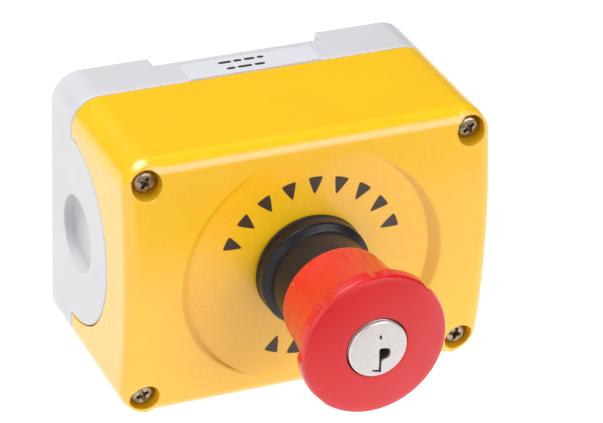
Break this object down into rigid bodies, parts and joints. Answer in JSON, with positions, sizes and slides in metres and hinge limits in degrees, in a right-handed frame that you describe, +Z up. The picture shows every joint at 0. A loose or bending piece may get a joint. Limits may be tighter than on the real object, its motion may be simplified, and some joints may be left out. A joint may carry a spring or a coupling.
{
  "type": "emergency stop button",
  "caption": "Wall box with a deep cover and tray, carrying a key-release mushroom push button that opens contact blocks behind the panel.",
  "frame": {"origin": "middle of the flat back face of the base", "axes": "+Y out of the back face towards the wall, so the button points along -Y; +X to the right seen from the front; +Z up"},
  "size_m": [0.1006, 0.099, 0.0738],
  "materials": {
    "cover_yellow": "satin moulded yellow",
    "base_grey": "fine-textured light grey",
    "head_red": "satin red",
    "black_plastic": "satin black",
    "block_grey": "matt grey",
    "rubber": "moulded black rubber",
    "label_paper": "white film label",
    "lock_chrome": "satin nickel plate",
    "zinc": "zinc plate, slightly dull",
    "steel": "bright spring steel",
    "brass": "rolled brass"
  },
  "bodies": {
    "enclosure": {"base": "base_grey", "cover": "cover_yellow", "cover_gasket_upper": "rubber", "cover_gasket_lower": "rubber", "cover_screw_1": "zinc", "cover_screw_2": "zinc", "cover_screw_3": "zinc", "cover_screw_4": "zinc", "label": "label_paper", "earth_terminal": "brass", "earth_terminal_screw": "zinc", "actuator_body": "black_plastic", "panel_seal": "rubber", "fixing_nut": "black_plastic", "mounting_adapter": "black_plastic", "adapter_screw_1": "zinc", "adapter_screw_2": "zinc", "latch_pin_1": "steel", "latch_pin_2": "steel", "latch_spring_1": "steel", "latch_spring_2": "steel", "return_spring": "steel", "contact_block_housing_1": "block_grey", "contact_spring_1": "steel", "fixed_contact_upper_1": "brass", "fixed_contact_lower_1": "brass", "terminal_screw_upper_1": "zinc", "terminal_screw_lower_1": "zinc", "contact_block_housing_2": "block_grey", "contact_spring_2": "steel", "fixed_contact_upper_2": "brass", "fixed_contact_lower_2": "brass", "terminal_screw_upper_2": "zinc", "terminal_screw_lower_2": "zinc"},
    "head": {"mushroom_head": "head_red", "lock_housing": "lock_chrome", "pusher_stem": "black_plastic", "pusher_plate": "black_plastic"},
    "lock": {"lock_plug": "lock_chrome", "lock_cam": "steel"},
    "contact_1": {"contact_plunger_1": "black_plastic", "contact_bridge_1": "brass"},
    "contact_2": {"contact_plunger_2": "black_plastic", "contact_bridge_2": "brass"}
  },
  "joints": [
    {"name": "head_press", "type": "slide", "parent": "enclosure", "child": "head", "axis": [0, 1, 0], "range_m": [0, 0.005], "stiffness_N_per_m": 2500, "springref_m": -0.002, "deforming": ["return_spring"]},
    {"name": "key_turn", "type": "hinge", "parent": "head", "child": "lock", "pos_m": [0, -0.09, 0], "axis": [0, 1, 0], "range_deg": [0, 45], "stiffness_Nm_per_rad": 0.05},
    {"name": "contact_press_1", "type": "slide", "parent": "enclosure", "child": "contact_1", "axis": [0, 1, 0], "range_m": [0, 0.005], "stiffness_N_per_m": 300, "deforming": ["contact_spring_1"]},
    {"name": "contact_press_2", "type": "slide", "parent": "enclosure", "child": "contact_2", "axis": [0, 1, 0], "range_m": [0, 0.005], "stiffness_N_per_m": 300, "deforming": ["contact_spring_2"]}
  ],
  "couplings": [
    {"joint": "contact_press_1", "follows": "head_press", "ratio": 1},
    {"joint": "contact_press_2", "follows": "head_press", "ratio": 1}
  ]
}
